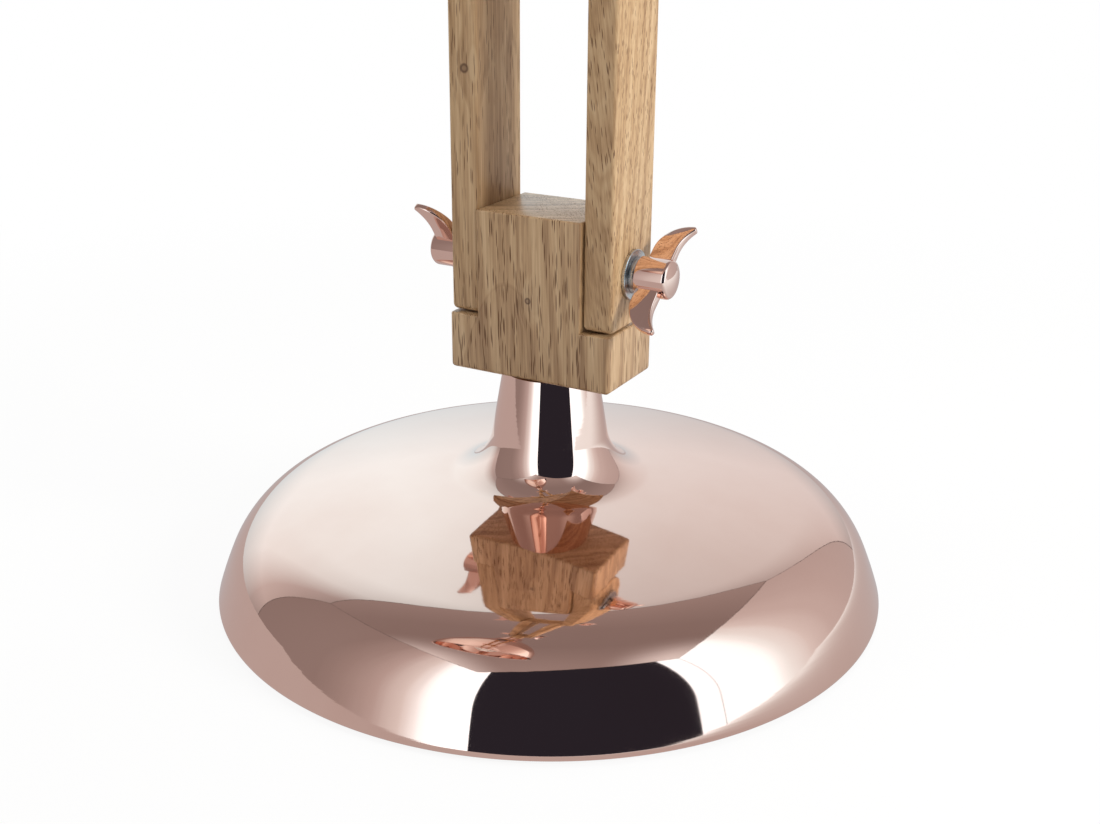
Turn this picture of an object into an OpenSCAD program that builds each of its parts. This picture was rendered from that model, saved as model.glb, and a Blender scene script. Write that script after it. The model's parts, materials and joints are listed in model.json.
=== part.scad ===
// Adjustable desk lamp: a spun base, pairs of wooden bars clamped by wing nuts, and a spun shade.
// X runs along the pivots, the shade reaches towards -Y, and Z is up. Sizes are millimetres and degrees.
// The origin is the middle of the foot pad's underside.

/* [Base shell] */
// Diameter of the base at its rim
base_d = 199; // [180:1:230]
// Height of the shell from its rim to the flat top of its neck
base_h = 67; // [60:0.5:80]
// Diameter of the neck's flat top
neck_d = 27.6; // [25:0.1:32]
// Lean of the neck's wall from upright, at its top
neck_lean = 9.5; // [7:0.5:13]
// Radius of the hollow flare from the neck into the dome
flare_r = 15; // [12:0.5:22]
// Height above the rim at which the flare meets the dome
dome_h = 34.8; // [34:0.1:37]
// Slope of the dome where it leaves the flare
dome_slope = 5.5; // [4:0.1:7]
// Radius of the shoulder between the dome and the skirt
shoulder_r = 27.8; // [26:0.1:29]
// Radius of the bowed skirt below the shoulder
skirt_r = 115; // [105:1:125]
// Lean of the skirt from upright, at its top
skirt_top_lean = 23.7; // [22:0.1:25]
// Lean of the skirt from upright, at the rim
skirt_rim_lean = 18; // [17:0.1:20]
// Radius of the rolled edge at the rim
rim_roll_r = 1.2; // [0.9:0.1:1.6]
// Sheet thickness of the shell
shell_t = 1.2; // [0.8:0.1:1.6]
// Height of the rim above the table
rim_lift = 0.8; // [0.4:0.1:1.5]

/* [Base inside] */
// Thickness of the iron ballast plate
ballast_t = 10; // [6:0.5:14]
// Gap between the ballast's edge and the shell
ballast_gap = 0.3; // [0.2:0.1:1]
// Margin of bare ballast round the foot pad
pad_margin = 5; // [2:0.5:12]
// Diameter of the rod that draws the base together
rod_d = 8; // [6:1:10]
// Depth to which the rod's threaded insert sits in the block
insert_h = 12; // [8:0.5:14]
// Outside diameter of that insert
insert_d = 12; // [11:0.5:16]

/* [Block] */
// Width of the tenon between the lower bars
tenon_w = 33; // [29:0.5:40]
// Depth of the block, front to back
block_d = 27; // [25:0.5:34]
// Height of the block
block_h = 47.5; // [45:0.5:60]
// Height of the shoulders under the lower bars
shoulder_h = 16.6; // [14:0.1:18]
// Height of the pivot above the block's underside
pivot_h = 31.6; // [31:0.1:34]
// Rounding of the wooden edges
wood_edge_r = 1.2; // [0.6:0.1:2]

/* [Arms] */
// Thickness of a bar
bar_t = 9; // [7:0.5:11]
// Depth of a bar, front to back
bar_d = 24.5; // [20:0.5:25]
// Distance from the base pivot to the elbow pivot
lower_len = 120; // [90:1:180]
// Distance from the elbow pivot to the head pivot
upper_len = 160; // [130:1:220]
// Gap between wooden faces that slide on each other
side_gap = 0.2; // [0.1:0.05:0.4]
// Gap between a lower bar's foot and the block's shoulder
foot_gap = 0.5; // [0.4:0.05:1]
// Rounding of a lower bar's front toe, which meets the shoulder as a stop
toe_r = 2; // [1:0.1:3]
// Rounding of a bar's ends across its thickness
foot_edge_r = 2; // [1:0.1:3]
// Diameter of the spacer between the upper bars at the elbow
spacer_d = 20; // [14:0.5:24]

/* [Pose at rest] */
// Lean of the upper arm from upright, towards the front
upper_lean = 25; // [15:1:35]
// Tilt of the shade from straight down, towards the front
shade_tilt = 55; // [45:1:65]

/* [Clamps] */
// Diameter of the pivot studs
stud_d = 6; // [5:0.5:6]
// Radial running gap of studs in their holes
run_gap = 0.05; // [0.03:0.01:0.1]
// Length of stud inside a wing nut
stud_grip = 6.5; // [5:0.5:7]
// Outside diameter of the flat washers
flat_washer_d = 14.2; // [13:0.1:18]
// Thickness of the flat washers
flat_washer_t = 1.1; // [0.8:0.1:1.6]
// Outside diameter of the split spring washers
spring_washer_d = 10.4; // [9.5:0.1:12]
// Thickness of the split spring washers
spring_washer_t = 1.4; // [1:0.1:2]
// Width of the slit in a spring washer
spring_slit = 1; // [0.6:0.1:2]
// Gap between a wing nut and its washer
seat_gap = 0.1; // [0.05:0.05:0.2]

/* [Wing nuts] */
// Diameter of the hub
hub_d = 11; // [9.5:0.1:13]
// Length of the hub to the edge of its domed end
hub_len = 9.6; // [9:0.1:12]
// Rise of the hub's domed end
hub_crown = 0.6; // [0.3:0.1:1.2]
// Rounding of the hub's outer edge
hub_edge_r = 1.2; // [0.6:0.1:1.8]
// Distance across the two wing tips
wing_span = 36; // [32:0.5:44]
// Distance from the hub's seat to the root of a wing
wing_set = 0.7; // [0.4:0.1:1.5]
// Width of a wing along the hub
wing_root_w = 6.9; // [5:0.1:7.2]
// Distance from the axis at which a wing starts to bend outwards
wing_bend_r = 9; // [8:0.1:11]
// Distance of a wing's tip from the hub's seat, along the axis
wing_reach = 10.6; // [10.4:0.1:13]
// Drop of a wing's tip below its crest
wing_tip_drop = 1; // [0.6:0.1:2]
// Thickness of a wing where it leaves the axis
wing_root_t = 4; // [3:0.1:5]
// Thickness of a wing at its tip
wing_tip_t = 1.8; // [1.2:0.1:2.6]

/* [Head] */
// Length of the wooden tongue from its pivot to the shade
tongue_len = 34; // [32:0.5:44]
// Depth to which the nipple sits in the tongue
nipple_seat = 10; // [8:0.5:12]
// Diameter of the shade's mouth
shade_d = 146; // [130:1:170]
// Height of the shade
shade_h = 112; // [108:1:130]
// Mouth diameter of the form for which the radii and slopes below are true
form_d = 146; // [140:1:160]
// Height of that form
form_h = 112; // [104:1:118]
// Diameter of the shade's flat top
shade_neck_d = 28; // [26:0.5:34]
// Lean of the shade's neck from upright
shade_neck_lean = 20; // [16:1:24]
// Radius of the hollow flare from the shade's neck into its bowl
shade_flare_r = 30; // [20:1:34]
// Distance from the shade's top down to its bowl
shade_neck_h = 28; // [25:0.5:32]
// Slope of the bowl where it leaves the flare
bowl_slope = 42; // [38:1:46]
// Radius of the bowl above the mouth's bowed wall
bowl_r = 45; // [36:1:48]
// Radius of the bowed wall at the mouth
mouth_wall_r = 150; // [120:5:170]
// Lean of that wall from upright, at its top
mouth_top_lean = 14; // [12:0.5:16]
// Lean of that wall from upright, at the mouth
mouth_lean = 5; // [3:0.5:8]
// Sheet thickness of the shade
shade_t = 1; // [0.8:0.1:1.6]
// Diameter of the rolled bead round the mouth
bead_d = 2.8; // [2.2:0.1:4]

/* [Lampholder and bulb] */
// Diameter of the hollow nipple that carries the shade
nipple_d = 10; // [9:0.5:12]
// Bore of the nipple
nipple_bore_d = 7; // [5:0.5:7.5]
// Drop of the lampholder below the shade's top
holder_drop = 16; // [15:0.5:20]
// Diameter of the lampholder's cap
holder_cap_d = 31; // [30:0.5:36]
// Height of the lampholder's cap
holder_cap_h = 16; // [13:0.5:18]
// Diameter of the lampholder's skirt
holder_d = 28; // [24:0.5:29]
// Diameter of the bulb's screw cap
bulb_cap_d = 13.9; // [13.7:0.1:14.2]
// Length of the bulb's screw cap
bulb_cap_h = 18; // [16:0.5:20]
// Diameter of the bulb's globe
bulb_d = 40; // [35:1:44]
// Distance from the bulb's screw cap to the middle of its globe
bulb_reach = 27; // [24:0.5:29]
// Wall of the bulb's glass
glass_t = 0.8; // [0.6:0.1:1.2]
// Distance of the cord's bush below the shade's top, at the back
bush_drop = 44; // [38:1:52]
// Bore of the bush where the cord enters the shade
bush_bore_d = 6.4; // [5:0.1:6.8]
// Outside diameter of that bush
bush_d = 9; // [8.4:0.1:10]
// Diameter of the bush's collar
bush_collar_d = 12.4; // [11:0.1:13]
// Thickness of the bush's collar
bush_collar_t = 1.6; // [1:0.1:2.5]
// Length of the bush inside the shade
bush_len = 6; // [4:0.5:8]

/* [Hidden] */

$fn = 64;
right = 1;
left = -1;
curve_steps = 10;   // stretches of each profile arc
arc_steps = 8;      // stretches of each small arc
roll_steps = 24;    // stretches of a rolled edge
least_step = 0.05;  // shortest stretch of an outline
fit_gap = 0.05;     // radial gap of pieces that are pressed, glued or screwed together
bush_lift = 0.3;    // lift of the bush's flat collar off the round shade

copper = [0.86, 0.62, 0.54];
oak = [0.71, 0.56, 0.41];
steel = [0.72, 0.73, 0.75];
brass = [0.80, 0.68, 0.38];
iron = [0.22, 0.22, 0.23];
felt = [0.12, 0.12, 0.12];
bakelite = [0.10, 0.10, 0.11];
opal = [0.95, 0.94, 0.90];

// Heights of the stack, from the table up
block_z = rim_lift + base_h;
pivot_z = block_z + pivot_h;
elbow_z = pivot_z + lower_len;

// Places along X
lower_in = tenon_w / 2 + side_gap;
lower_out = lower_in + bar_t;
upper_out = tenon_w / 2;
upper_in = upper_out - bar_t;
spacer_w = 2 * upper_in;
tongue_w = spacer_w - 2 * side_gap;
nut_seat = flat_washer_t + spring_washer_t + seat_gap;
stud_end = nut_seat + stud_grip;

// Rod and nut under the ballast, in standard proportions of the rod
rod_nut_af = 1.625 * rod_d;
rod_nut_h = 0.8 * rod_d;
rod_washer_d = 2 * rod_d;
rod_washer_t = 0.2 * rod_d;
rod_recess_h = rod_nut_h + rod_washer_t + 0.5;
rod_hole_d = rod_d + 0.6;
ballast_z = rim_lift + 2 * rim_roll_r + ballast_gap;

// Places down the shade's axis, measured from the head pivot
shade_top = tongue_len;
nipple_end = shade_top + holder_drop + 6;
nipple_nut_af = 1.4 * nipple_d;
nipple_nut_h = 0.4 * nipple_d;
holder_cap_top = shade_top + holder_drop;
holder_cap_wall = 1.6;
skirt_top = holder_cap_top + holder_cap_h;
skirt_roof = 4;
contact_h = 1.5;
contact_gap = 0.2;
bulb_top = skirt_top + skirt_roof + contact_h + contact_gap;
bulb_cap_end = bulb_top + bulb_cap_h;
sleeve_t = 0.8;
globe_z = bulb_cap_end + bulb_reach;

// Turns of the wings from upright, towards the back: base, elbow and head, each left then right
base_turns = [-38, 50];
elbow_turns = [-62, 24];
head_turns = [35, -20];

// Curves and profiles

function last(list) = list[len(list) - 1];
function tail(list) = [for (i = [1:len(list) - 1]) list[i]];
function backwards(list) = [for (i = [len(list) - 1:-1:0]) list[i]];
function arc(centre, r, from, to) =
  [for (i = [0:arc_steps]) let (a = from + (to - from) * i / arc_steps) centre + r * [cos(a), sin(a)]];

// An outline is a list of stations: distance from the axis, height, and slope down from level
function outward(slope) = [sin(slope), cos(slope)];
function place(station) = [station[0], station[1]];
function inset(stations, depth) = [for (s = stations) place(s) - depth * outward(s[2])];

// Stations along an arc from a start to a given slope; a negative radius hollows the outline
function bend(start, r, slope) = [
  for (i = [0:curve_steps])
    let (a = start[2] + (slope - start[2]) * i / curve_steps)
    [start[0] + r * (sin(a) - sin(start[2])), start[1] + r * (cos(a) - cos(start[2])), a]
];

// Stations of a bell: a leaning neck, a hollow flare, a dome, a shoulder and a bowed wall down to the mouth.
// The dome's radius is the one that runs smoothly from the flare into the shoulder.
function bell(
  neck_r, neck_lean, h, flare_r, foot_h, foot_slope, shoulder_r, wall_r, wall_top_lean, mouth_lean, mouth
) =
  let (
    neck_slope = 90 - neck_lean,
    wall_slope = 90 - wall_top_lean,
    mouth_slope = 90 - mouth_lean,
    neck_h = h - foot_h - flare_r * (cos(foot_slope) - cos(neck_slope)),
    neck_foot = [neck_r + neck_h * tan(neck_lean), h - neck_h, neck_slope],
    flare = bend(neck_foot, -flare_r, foot_slope),
    foot = last(flare),
    wall_top = mouth + wall_r * (outward(wall_slope) - outward(mouth_slope)),
    shoulder_c = wall_top - shoulder_r * outward(wall_slope),
    span = place(foot) - shoulder_c,
    dome_r = (span * span - shoulder_r * shoulder_r) / (2 * (span * outward(foot_slope) - shoulder_r)),
    to_shoulder = dome_r * outward(foot_slope) - span,
    dome = bend(foot, dome_r, atan2(to_shoulder[0], to_shoulder[1])),
    shoulder = bend(last(dome), shoulder_r, wall_slope),
    wall = bend(last(shoulder), wall_r, mouth_slope)
  )
  concat([[neck_r, h, neck_slope]], flare, tail(dome), tail(shoulder), tail(wall));

// The same stations drawn out to another width, outside the top's edge, and another height
function drawn_out(stations, by_r, by_h) = [
  for (s = stations)
    [stations[0][0] + by_r * (s[0] - stations[0][0]), by_h * s[1], atan2(by_h * sin(s[2]), by_r * cos(s[2]))]
];

// The station of an outline at a given height
function station_at(stations, h, i = 0) =
  let (a = stations[i], b = stations[i + 1])
  b[1] <= h ? a + (b - a) * (a[1] - h) / (a[1] - b[1]) : station_at(stations, h, i + 1);

// The rolled edge at a bell's mouth: a circle centred at some depth in the sheet, from its outside to its inside
function rolled_edge(stations, wall, roll_r, depth) =
  let (
    out = outward(last(stations)[2]),
    down = [out[1], -out[0]],
    centre = place(last(stations)) - depth * out,
    from = -acos(depth / roll_r),
    to = 360 - acos((depth - wall) / roll_r)
  )
  [
    for (i = [0:roll_steps])
      let (a = from + (to - from) * i / roll_steps) centre + roll_r * (cos(a) * out + sin(a) * down)
  ];

// The sheet wall of a bell, with a hole in its flat top and a rolled edge at its mouth
function bell_section(stations, wall, hole_r, roll_r, depth) =
  let (
    top = stations[0],
    lean = 90 - top[2],
    plate_h = top[1] - wall,
    roll = rolled_edge(stations, wall, roll_r, depth)
  )
  concat(
    [[hole_r, top[1]]],
    [for (p = inset(stations, 0)) if (p[1] > roll[0][1] + least_step) p],
    roll,
    [for (p = backwards(inset(tail(stations), wall))) if (p[1] > last(roll)[1] + least_step) p],
    [[top[0] + wall * tan(lean) - wall / cos(lean), plate_h], [hole_r, plate_h]]
  );

base_rim_slope = 90 - skirt_rim_lean;
base_bell = bell(
  neck_d / 2, neck_lean, base_h, flare_r, dome_h, dome_slope, shoulder_r, skirt_r, skirt_top_lean, skirt_rim_lean,
  [base_d / 2 - rim_roll_r * (1 - sin(base_rim_slope)), rim_roll_r * (1 + cos(base_rim_slope))]
);
shade_bell = drawn_out(
  bell(
    shade_neck_d / 2, shade_neck_lean, form_h, shade_flare_r, form_h - shade_neck_h, bowl_slope, bowl_r,
    mouth_wall_r, mouth_top_lean, mouth_lean, [form_d / 2, 0]
  ),
  (shade_d - shade_neck_d) / (form_d - shade_neck_d), shade_h / form_h
);

// The room under the base shell, below the neck
function under_base() =
  let (line = [for (p = inset(base_bell, shell_t + ballast_gap)) if (p[1] < dome_h) p])
  concat([[0, dome_h]], line, [[last(line)[0], 0], [0, 0]]);

// Shared shapes

module rounded_square(size, r) {
  translate([-size[0] / 2, r]) square([size[0], size[1] - 2 * r]);
  translate([r - size[0] / 2, 0]) square([size[0] - 2 * r, size[1]]);
  for (x = [r - size[0] / 2, size[0] / 2 - r], y = [r, size[1] - r]) translate([x, y]) circle(r);
}

module seen_from_front(depth) rotate([90, 0, 0]) linear_extrude(depth, center = true) children();
module seen_from_side(width) rotate([90, 0, 90]) linear_extrude(width, center = true) children();
module along_x(length, r) rotate([0, 90, 0]) cylinder(h = length, r = r, center = true);
module tube(h, r, hole_r) difference() {
  cylinder(h = h, r = r);
  translate([0, 0, -1]) cylinder(h = h + 2, r = hole_r);
}
module hex_nut(h, across, hole_r) difference() {
  cylinder(h = h, r = across / 2 / cos(30), $fn = 6);
  translate([0, 0, -1]) cylinder(h = h + 2, r = hole_r);
}

// A block of wood with all its edges rounded, standing on Z = 0
module wood_box(size) intersection() {
  seen_from_front(size[1] + 1) rounded_square([size[0], size[2]], wood_edge_r);
  seen_from_side(size[0] + 1) rounded_square([size[1], size[2]], wood_edge_r);
  translate([0, -size[1] / 2, 0]) linear_extrude(size[2]) rounded_square([size[0], size[1]], wood_edge_r);
}

module base_pivot() translate([0, 0, pivot_z]) children();
module elbow() translate([0, 0, elbow_z]) children();
module upper_arm() elbow() rotate([upper_lean, 0, 0]) children();
module head_pivot() upper_arm() translate([0, 0, upper_len]) children();
module head() head_pivot() rotate([-upper_lean - shade_tilt, 0, 0]) children();
module on_side(side) mirror([side == left ? 1 : 0, 0, 0]) children();
module both_sides() for (side = [left, right]) on_side(side) children();

// Side outline of a bar from its lower pivot at the origin, with a round upper end
module bar_outline(length) {
  translate([-bar_d / 2, 0]) square([bar_d, length]);
  translate([0, length]) circle(bar_d / 2);
}

// Foot of a lower bar: a toe in front that stops on the shoulder, and a round heel that rolls clear of it
module foot_outline(drop) {
  translate([-bar_d / 2, toe_r - drop]) square([bar_d / 2, drop - toe_r]);
  translate([toe_r - bar_d / 2, -drop]) square([bar_d / 2 - toe_r, drop]);
  translate([toe_r - bar_d / 2, toe_r - drop]) circle(toe_r);
  translate([0, bar_d / 2 - drop]) circle(bar_d / 2);
  translate([0, bar_d / 2 - drop]) square([bar_d / 2, max(0.1, drop - bar_d / 2)]);
}

// A bar from its side outline, rounded along its edges and over its ends; low and high are its ends
module bar(low, high, length) difference() {
  intersection() {
    seen_from_side(bar_t) children();
    translate([0, 0, low]) seen_from_front(bar_d + 1) rounded_square([bar_t, high - low], foot_edge_r);
    translate([0, -bar_d / 2, low]) linear_extrude(high - low) rounded_square([bar_t, bar_d], wood_edge_r);
  }
  for (z = [0, length]) translate([0, 0, z]) along_x(bar_t + 1, stud_d / 2 + run_gap);
}

module lower_bar(side) {
  drop = pivot_h - shoulder_h - foot_gap;
  color(oak) base_pivot() translate([side * (lower_in + bar_t / 2), 0, 0])
    bar(-drop, lower_len + bar_d / 2, lower_len) {
      union() {
        bar_outline(lower_len);
        foot_outline(drop);
      }
    }
}

module upper_bar(side) color(oak) upper_arm() translate([side * (upper_in + bar_t / 2), 0, 0])
  bar(-bar_d / 2, upper_len + bar_d / 2, upper_len) {
    union() {
      bar_outline(upper_len);
      circle(bar_d / 2);
    }
  }

module stud(half) color(steel) along_x(2 * half, stud_d / 2);

module flat_washers(face) color(steel) both_sides() translate([face, 0, 0]) rotate([0, 90, 0])
  tube(flat_washer_t, flat_washer_d / 2, stud_d / 2 + 2 * run_gap);

module spring_washers(face) color(steel) both_sides() translate([face + flat_washer_t, 0, 0]) rotate([0, 90, 0])
  difference() {
    tube(spring_washer_t, spring_washer_d / 2, stud_d / 2 + 2 * run_gap);
    translate([0, -spring_slit / 2, -1]) rotate([20, 0, 0])
      cube([spring_washer_d, spring_slit, spring_washer_t + 4]);
  }

// Half section of a wing nut's hub from its seat at 0 to its domed end
function hub_section() = concat(
  [[0, 0], [hub_d / 2, 0]],
  arc([hub_d / 2 - hub_edge_r, hub_len - hub_edge_r], hub_edge_r, 0, 75),
  [[hub_d / 4, hub_len + 0.75 * hub_crown], [0, hub_len + hub_crown]]
);

// Outline of one wing, as distance along the axis and distance from it: a straight root, then a horn
function wing_outline() =
  let (
    root = 0.6 * hub_d / 2,
    outer = wing_set + wing_root_w,
    inner_r = wing_span / 2 - wing_bend_r,
    inner_r_x = min(inner_r, wing_reach - wing_set - 0.5),
    tip = [wing_reach, wing_span / 2 - wing_tip_drop],
    run = tip[0] - outer,
    rise = tip[1] - wing_bend_r,
    outer_r = (run * run + rise * rise) / (2 * run)
  )
  concat(
    [[wing_set, root]],
    [for (p = arc([0, 0], 1, 180, 90)) [wing_set + inner_r_x * (1 + p[0]), wing_bend_r + inner_r * p[1]]],
    backwards(arc([outer + outer_r, wing_bend_r], outer_r, 180, 180 - asin(rise / outer_r))),
    [[outer, root]]
  );

module wings() for (turn = [0, 180]) rotate([turn, 0, 0]) intersection() {
  seen_from_front(wing_root_t) polygon(wing_outline());
  translate([wing_reach / 2, 0, 0]) seen_from_side(2 * wing_reach) polygon([
    [-wing_root_t / 2, 0], [wing_root_t / 2, 0], [wing_tip_t / 2, wing_span / 2], [-wing_tip_t / 2, wing_span / 2]
  ]);
}

module wing_nut(face, side, turn) color(copper) on_side(side) translate([face + nut_seat, 0, 0])
  rotate([-turn, 0, 0]) difference() {
    union() {
      rotate([0, 90, 0]) rotate_extrude() polygon(hub_section());
      wings();
    }
    translate([-1, 0, 0]) rotate([0, 90, 0]) cylinder(h = stud_grip + 1.5, r = stud_d / 2 + run_gap);
  }

// Base

module base_shell() color(copper) translate([0, 0, rim_lift])
  rotate_extrude() polygon(bell_section(base_bell, shell_t, rod_hole_d / 2, rim_roll_r, rim_roll_r));

module base_ballast() color(iron) difference() {
  translate([0, 0, rim_lift]) rotate_extrude() intersection() {
    polygon(under_base());
    translate([rod_hole_d / 2, ballast_z - rim_lift]) square([base_d, ballast_t]);
  }
  translate([0, 0, ballast_z - 1]) cylinder(h = rod_recess_h + 1, r = rod_washer_d / 2 + 1);
}

module base_pad() color(felt) cylinder(h = ballast_z, r = base_d / 2 - 2 * rim_roll_r - pad_margin);

module base_rod() color(steel) translate([0, 0, ballast_z])
  cylinder(h = block_z + insert_h - 1 - ballast_z, r = rod_d / 2);

module base_rod_washer() color(steel) translate([0, 0, ballast_z + rod_recess_h - rod_washer_t])
  tube(rod_washer_t, rod_washer_d / 2, rod_d / 2 + fit_gap);

module base_rod_nut() color(steel) translate([0, 0, ballast_z + rod_recess_h - rod_washer_t - rod_nut_h])
  hex_nut(rod_nut_h, rod_nut_af, rod_d / 2 + fit_gap);

module block_insert() color(brass) translate([0, 0, block_z]) tube(insert_h, insert_d / 2, rod_d / 2 + fit_gap);

module base_block() color(oak) translate([0, 0, block_z]) difference() {
  union() {
    wood_box([2 * lower_out, block_d, shoulder_h]);
    wood_box([tenon_w, block_d, block_h]);
  }
  translate([0, 0, pivot_h]) along_x(tenon_w + 1, stud_d / 2 + run_gap);
  translate([0, 0, -1]) cylinder(h = insert_h + 1, r = insert_d / 2 + fit_gap);
}

// Arms

module elbow_spacer() color(oak) elbow() difference() {
  along_x(spacer_w, spacer_d / 2);
  along_x(spacer_w + 1, stud_d / 2 + run_gap);
}

// Head

module head_tongue() color(oak) head() difference() {
  intersection() {
    seen_from_side(tongue_w) {
      circle(bar_d / 2);
      translate([-bar_d / 2, -tongue_len]) square([bar_d, tongue_len]);
    }
    translate([0, -bar_d / 2, -tongue_len]) linear_extrude(tongue_len + bar_d)
      rounded_square([tongue_w, bar_d], wood_edge_r);
  }
  along_x(tongue_w + 1, stud_d / 2 + run_gap);
  translate([0, 0, -tongue_len - 1]) cylinder(h = nipple_seat + 1, r = nipple_d / 2 + fit_gap);
}

// The place on the back of the shade where the cord's bush sits, with Z pointing out of the shade
module bush_seat() {
  seat = station_at(shade_bell, shade_h - bush_drop);
  translate([0, seat[0], -shade_top - bush_drop]) rotate([-seat[2], 0, 0]) children();
}

module cord_bush() color(bakelite) head() bush_seat() difference() {
  union() {
    translate([0, 0, -bush_len]) cylinder(h = bush_len + bush_lift + bush_collar_t, r = bush_d / 2);
    translate([0, 0, bush_lift]) cylinder(h = bush_collar_t, r = bush_collar_d / 2);
  }
  translate([0, 0, -bush_len - 1]) cylinder(h = bush_len + bush_collar_t + 3, r = bush_bore_d / 2);
}

module shade() color(copper) head() difference() {
  translate([0, 0, -shade_top - shade_h]) rotate_extrude()
    polygon(bell_section(shade_bell, shade_t, nipple_d / 2 + fit_gap, bead_d / 2, shade_t / 2));
  bush_seat() cylinder(h = 8 * shade_t, r = bush_d / 2 + fit_gap, center = true);
}

module shade_nipple() color(steel) head() translate([0, 0, -nipple_end])
  tube(nipple_end - tongue_len + nipple_seat, nipple_d / 2, nipple_bore_d / 2);

module nipple_nut() color(steel) head() translate([0, 0, -shade_top - shade_t - nipple_nut_h])
  hex_nut(nipple_nut_h, nipple_nut_af, nipple_d / 2 + fit_gap);

module holder_cap() color(bakelite) head() translate([0, 0, -skirt_top]) difference() {
  cylinder(h = holder_cap_h, r = holder_cap_d / 2);
  translate([0, 0, -1]) cylinder(h = holder_cap_h - 4 * holder_cap_wall + 1, r = holder_cap_d / 2 - holder_cap_wall);
  cylinder(h = holder_cap_h + 1, r = nipple_d / 2 + fit_gap);
}

module holder_skirt() color(bakelite) head() translate([0, 0, -bulb_cap_end]) difference() {
  cylinder(h = bulb_cap_end - skirt_top, r = holder_d / 2);
  translate([0, 0, -1])
    cylinder(h = bulb_cap_end - skirt_top - skirt_roof + 1, r = bulb_cap_d / 2 + 2 * fit_gap + sleeve_t);
}

module holder_sleeve() color(brass) head() translate([0, 0, -bulb_cap_end])
  tube(bulb_cap_h, bulb_cap_d / 2 + fit_gap + sleeve_t, bulb_cap_d / 2 + fit_gap);

module holder_contact() color(brass) head() translate([0, 0, -skirt_top - skirt_roof - contact_h])
  cylinder(h = contact_h, r = bulb_cap_d / 4);

module bulb_cap() color(steel) head() translate([0, 0, -bulb_cap_end])
  cylinder(h = bulb_cap_h, r = bulb_cap_d / 2);

// The globe runs into a neck as wide as the screw cap; skin shrinks both for the hollow inside
module globe_form(skin) {
  sphere(bulb_d / 2 - skin);
  cylinder(h = bulb_reach - skin, r1 = bulb_d / 2.6 - skin, r2 = bulb_cap_d / 2 - skin);
}

module bulb_globe() color(opal) head() translate([0, 0, -globe_z]) difference() {
  globe_form(0);
  globe_form(glass_t);
}

base_shell();
base_ballast();
base_pad();
base_rod();
base_rod_washer();
base_rod_nut();
block_insert();
base_block();
base_pivot() stud(lower_out + stud_end);  // base_stud
lower_bar(left);  // lower_bar_left
lower_bar(right);  // lower_bar_right
base_pivot() flat_washers(lower_out);  // base_flat_washers
base_pivot() spring_washers(lower_out);  // base_spring_washers
elbow() stud(lower_out + stud_end);  // elbow_stud
elbow() flat_washers(lower_out);  // elbow_flat_washers
elbow() spring_washers(lower_out);  // elbow_spring_washers
base_pivot() wing_nut(lower_out, left, base_turns[0]);  // base_nut_left
base_pivot() wing_nut(lower_out, right, base_turns[1]);  // base_nut_right
elbow() wing_nut(lower_out, left, elbow_turns[0]);  // elbow_nut_left
elbow() wing_nut(lower_out, right, elbow_turns[1]);  // elbow_nut_right
head_pivot() wing_nut(upper_out, left, head_turns[0]);  // head_nut_left
head_pivot() wing_nut(upper_out, right, head_turns[1]);  // head_nut_right
upper_bar(left);  // upper_bar_left
upper_bar(right);  // upper_bar_right
elbow_spacer();
head_pivot() stud(upper_out + stud_end);  // head_stud
head_pivot() flat_washers(upper_out);  // head_flat_washers
head_pivot() spring_washers(upper_out);  // head_spring_washers
head_tongue();
cord_bush();
shade();
shade_nipple();
nipple_nut();
holder_cap();
holder_skirt();
holder_sleeve();
holder_contact();
bulb_cap();
bulb_globe();
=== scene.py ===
# %% [markdown]
# # A desk lamp in polished copper and open-pored wood
#
# The lamp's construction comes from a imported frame: every node there has its true size and place, and
# the nodes are grouped into the bodies that move. This lesson keeps that frame fixed and makes the
# looks round it. Most nodes get a smoother mesh that stands for them, because a mirror finish shows
# every facet of a plain one.

# %% Load the frame and keep its box
import json
import math

import bmesh
import bpy
from mathutils import Matrix, Vector

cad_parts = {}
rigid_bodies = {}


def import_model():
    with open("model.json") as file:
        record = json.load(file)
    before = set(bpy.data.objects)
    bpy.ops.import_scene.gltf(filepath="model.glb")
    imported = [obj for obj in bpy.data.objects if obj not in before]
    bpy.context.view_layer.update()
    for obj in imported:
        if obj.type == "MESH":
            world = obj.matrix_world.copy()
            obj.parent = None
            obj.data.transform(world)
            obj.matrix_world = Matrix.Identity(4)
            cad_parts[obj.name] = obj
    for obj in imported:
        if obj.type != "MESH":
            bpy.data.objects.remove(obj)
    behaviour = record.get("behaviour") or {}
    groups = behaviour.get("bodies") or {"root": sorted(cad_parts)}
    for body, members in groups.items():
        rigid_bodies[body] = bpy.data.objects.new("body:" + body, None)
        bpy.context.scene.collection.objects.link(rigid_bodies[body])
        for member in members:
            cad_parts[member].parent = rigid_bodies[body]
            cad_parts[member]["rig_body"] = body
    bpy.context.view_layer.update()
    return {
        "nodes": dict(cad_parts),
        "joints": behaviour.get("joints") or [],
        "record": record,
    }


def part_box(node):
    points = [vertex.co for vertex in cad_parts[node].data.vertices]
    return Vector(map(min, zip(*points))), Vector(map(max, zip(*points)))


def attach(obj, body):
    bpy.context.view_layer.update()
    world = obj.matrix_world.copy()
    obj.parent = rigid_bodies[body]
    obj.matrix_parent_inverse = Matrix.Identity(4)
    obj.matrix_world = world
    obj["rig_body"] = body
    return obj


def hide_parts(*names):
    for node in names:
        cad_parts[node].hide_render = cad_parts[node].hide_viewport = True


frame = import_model()
scene = bpy.context.scene
scene.view_settings.view_transform = "Standard"
mm = 0.001
pivot = {joint["name"]: Vector(joint["pos_m"]) for joint in frame["joints"]}
slot_of = {part["node"]: part["material_slot"] for part in frame["record"]["subparts"]}

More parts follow.
